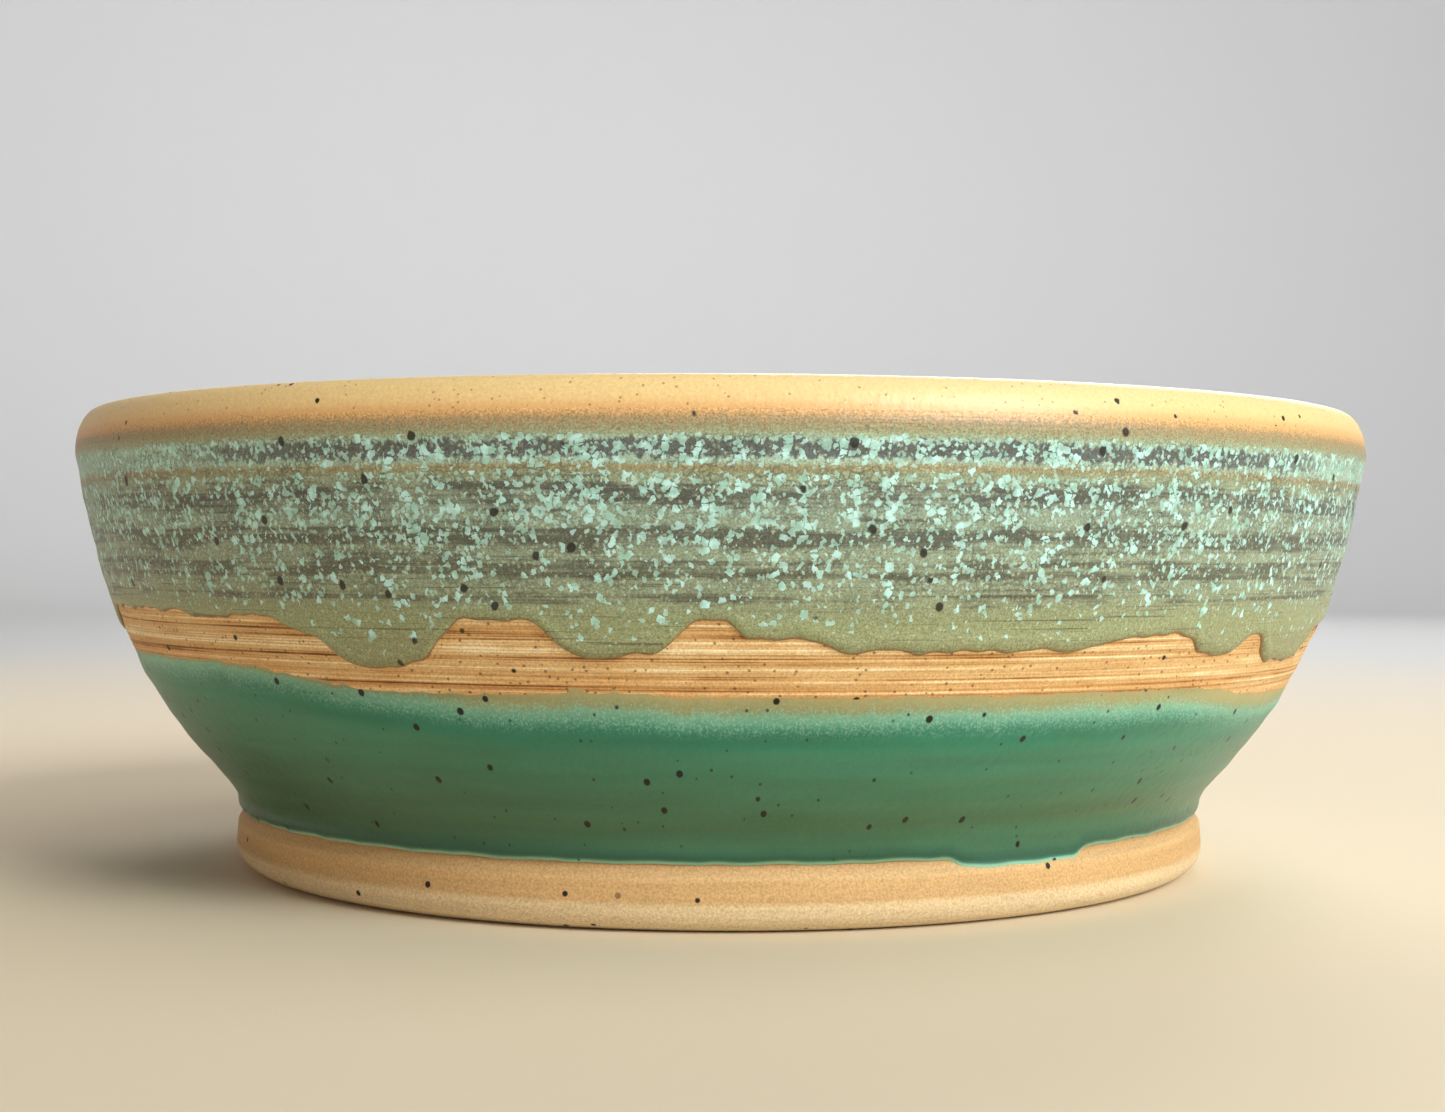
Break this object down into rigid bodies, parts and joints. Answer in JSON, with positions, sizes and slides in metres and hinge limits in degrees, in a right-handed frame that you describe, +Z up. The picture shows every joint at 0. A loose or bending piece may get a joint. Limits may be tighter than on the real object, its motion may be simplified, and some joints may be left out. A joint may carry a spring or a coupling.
{
  "type": "yarn bowl",
  "caption": "Wide, low wheel-thrown stoneware yarn bowl with a trimmed foot, dripped sage glaze over bare clay, green lower glaze and a hook-shaped yarn slot",
  "frame": {"origin": "centre of the foot, on the surface that the bowl stands on", "axes": "+Z up, along the wheel's axis. -Y is the front. The yarn slot is in the back wall, at +Y, and its hook turns towards +X"},
  "size_m": [0.2012, 0.2012, 0.0696],
  "materials": {
    "stoneware": "bare speckled orange-brown stoneware with fine throwing lines, matte with a faint sheen",
    "liner_glaze": "satin honey glaze with iron specks, breaking orange at its lower edge",
    "upper_glaze": "satin sage and olive glaze with charcoal rings and aqua crystal flecks",
    "lower_glaze": "satin translucent green glaze, emerald at the top and dark where it pools at the foot"
  },
  "bodies": {
    "root": {"bowl_body": "stoneware", "liner_glaze": "liner_glaze", "upper_glaze": "upper_glaze", "lower_glaze": "lower_glaze"}
  },
  "joints": []
}
